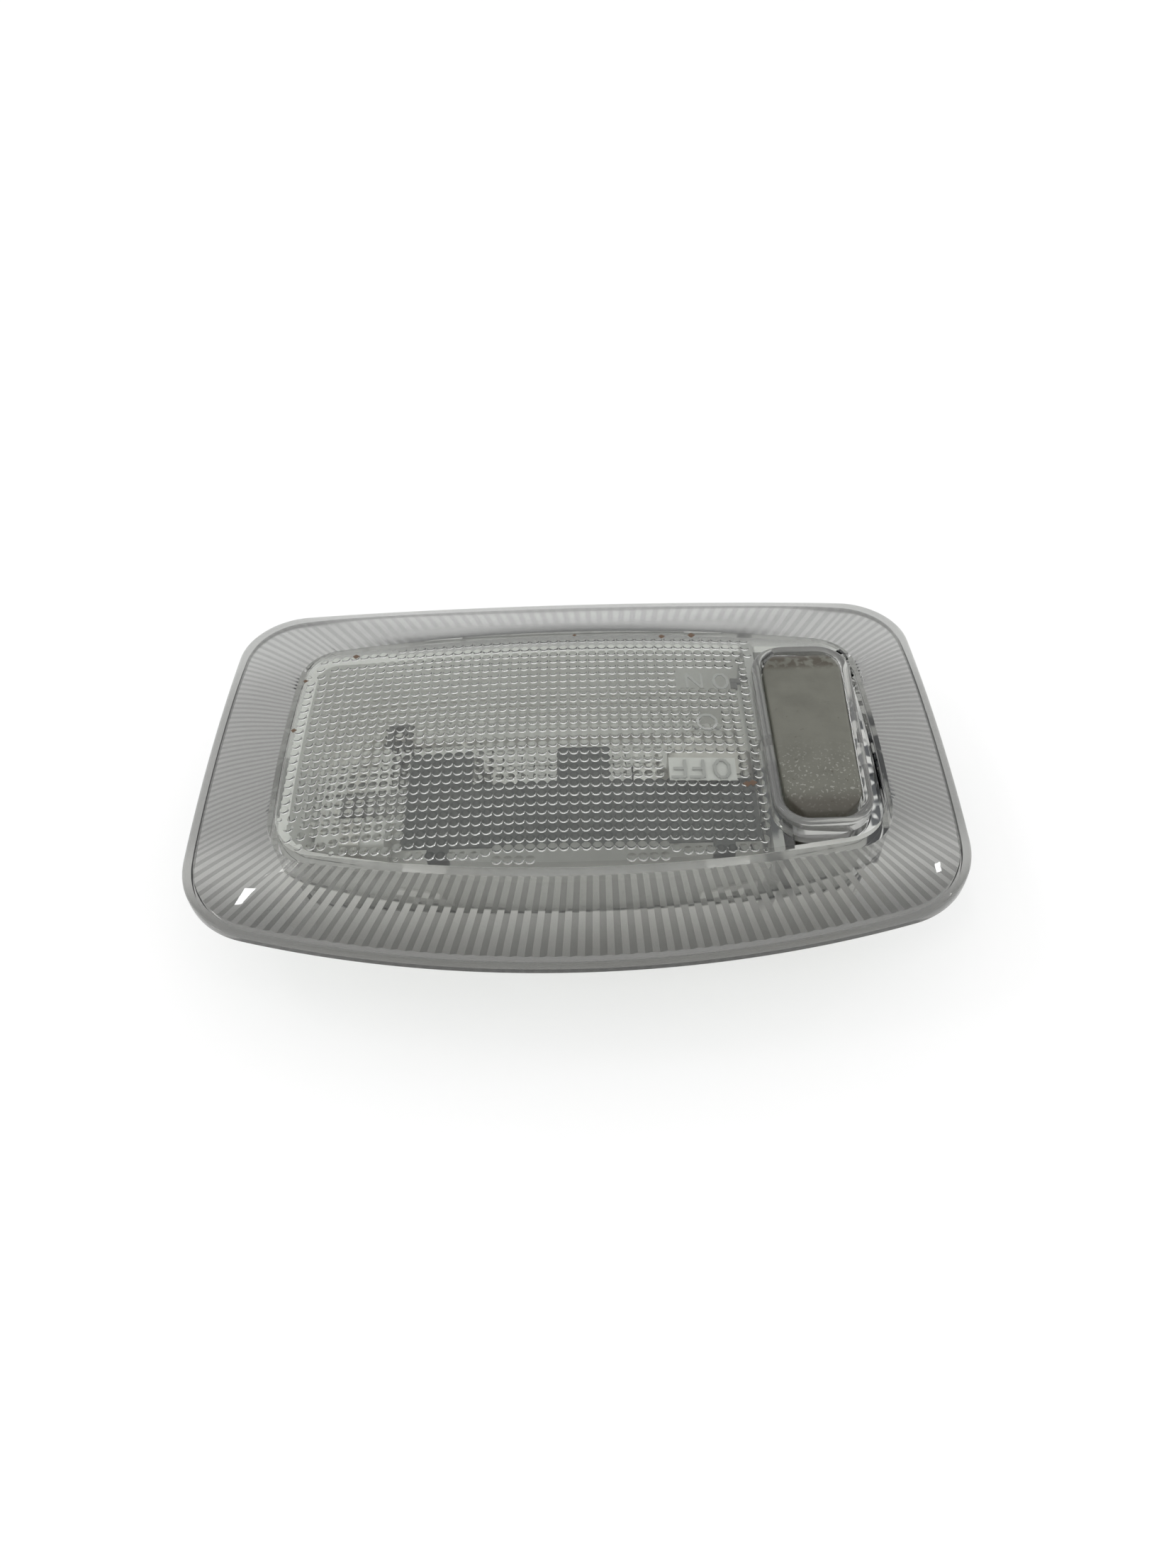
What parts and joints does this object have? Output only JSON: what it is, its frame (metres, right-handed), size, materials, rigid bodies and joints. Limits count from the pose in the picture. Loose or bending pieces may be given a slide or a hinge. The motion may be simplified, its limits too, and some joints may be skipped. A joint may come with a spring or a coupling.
{
  "type": "car dome light",
  "caption": "Clear bowed car roof lamp with fluted border, prism field and grey three-position rocker switch, over a snap-in housing with a festoon bulb.",
  "frame": {"origin": "middle of the flat back of the housing", "axes": "+Z out of the lens, +X along the long side towards the switch, -Y towards the bowed front edge"},
  "size_m": [0.147, 0.0944, 0.0309],
  "materials": {
    "clear_plastic": "clear moulded, glossy",
    "pale_plastic": "moulded, slightly yellowed",
    "grey_plastic": "finely grained",
    "white_plastic": "moulded",
    "spring_steel": "bare",
    "contact_tinned": "stamped brass, tinned grey",
    "dark_sheet": "satin",
    "bulb_glass": "clear",
    "bulb_metal": "nickel plated",
    "bulb_wire": "bare wire"
  },
  "bodies": {
    "housing": {"lens": "clear_plastic", "base_housing": "pale_plastic", "contact_left": "contact_tinned", "contact_right": "contact_tinned", "ground_strip": "contact_tinned", "door_strip": "contact_tinned", "heat_shield": "dark_sheet", "strip_rivets": "contact_tinned", "bulb_glass": "bulb_glass", "bulb_cap_left": "bulb_metal", "bulb_cap_right": "bulb_metal", "bulb_filament": "bulb_wire", "clip_left": "spring_steel", "clip_right": "spring_steel"},
    "rocker": {"rocker": "grey_plastic", "contact_bridge": "contact_tinned", "plunger_spring": "spring_steel"},
    "plunger": {"detent_plunger": "white_plastic"}
  },
  "joints": [
    {"name": "rocker_tilt", "type": "hinge", "parent": "housing", "child": "rocker", "pos_m": [0.046, 0, 0.023], "axis": [1, 0, 0], "range_deg": [-9, 9]},
    {"name": "plunger_slide", "type": "slide", "parent": "rocker", "child": "plunger", "axis": [0, 0, 1], "range_m": [0, 0.0008], "stiffness_N_per_m": 400, "springref_m": -0.003, "deforming": ["plunger_spring"]}
  ]
}
